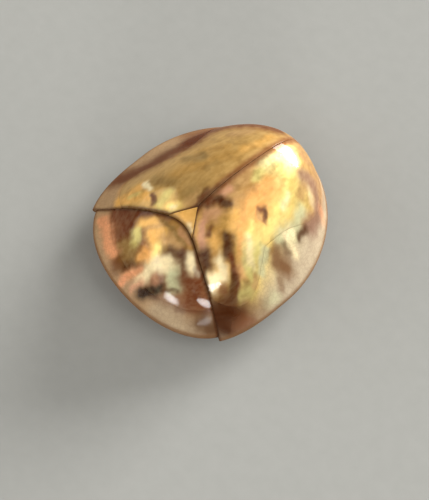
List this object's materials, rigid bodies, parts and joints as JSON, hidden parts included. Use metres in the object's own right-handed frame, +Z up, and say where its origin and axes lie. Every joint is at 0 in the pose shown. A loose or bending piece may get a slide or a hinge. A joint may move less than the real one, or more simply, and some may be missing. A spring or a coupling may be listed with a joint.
{
  "type": "golden tortoise beetle",
  "caption": "Life-size golden tortoise beetle standing on its feet, with domed wing cases, a neck shield and a thin clear brim all round.",
  "frame": {"origin": "on the ground under the middle of the beetle", "axes": "+Z up, the head points to -Y, +X is the beetle's own left"},
  "size_m": [0.006, 0.0068, 0.0033],
  "materials": {
    "gold_cuticle": "mirror-gold disc of the wing cases and neck shield, mottled with brown",
    "clear_cuticle": "clear, faintly netted brim of the wing cases and neck shield",
    "amber_cuticle": "glossy amber scutellum, head and feelers",
    "leg_cuticle": "satin yellow-brown legs",
    "brown_cuticle": "dark brown, finely wrinkled underside",
    "black_eye": "glossy black, finely faceted eyes"
  },
  "bodies": {
    "root": {"elytron_left": "gold_cuticle", "elytron_right": "gold_cuticle", "pronotum": "gold_cuticle", "scutellum": "amber_cuticle", "prosternum": "brown_cuticle", "thorax": "brown_cuticle", "abdomen": "brown_cuticle", "head": "amber_cuticle", "eye_left": "black_eye", "eye_right": "black_eye", "antenna_left": "amber_cuticle", "antenna_right": "amber_cuticle", "leg_front_left": "leg_cuticle", "leg_front_right": "leg_cuticle", "leg_middle_left": "leg_cuticle", "leg_middle_right": "leg_cuticle", "leg_hind_left": "leg_cuticle", "leg_hind_right": "leg_cuticle"}
  },
  "joints": []
}
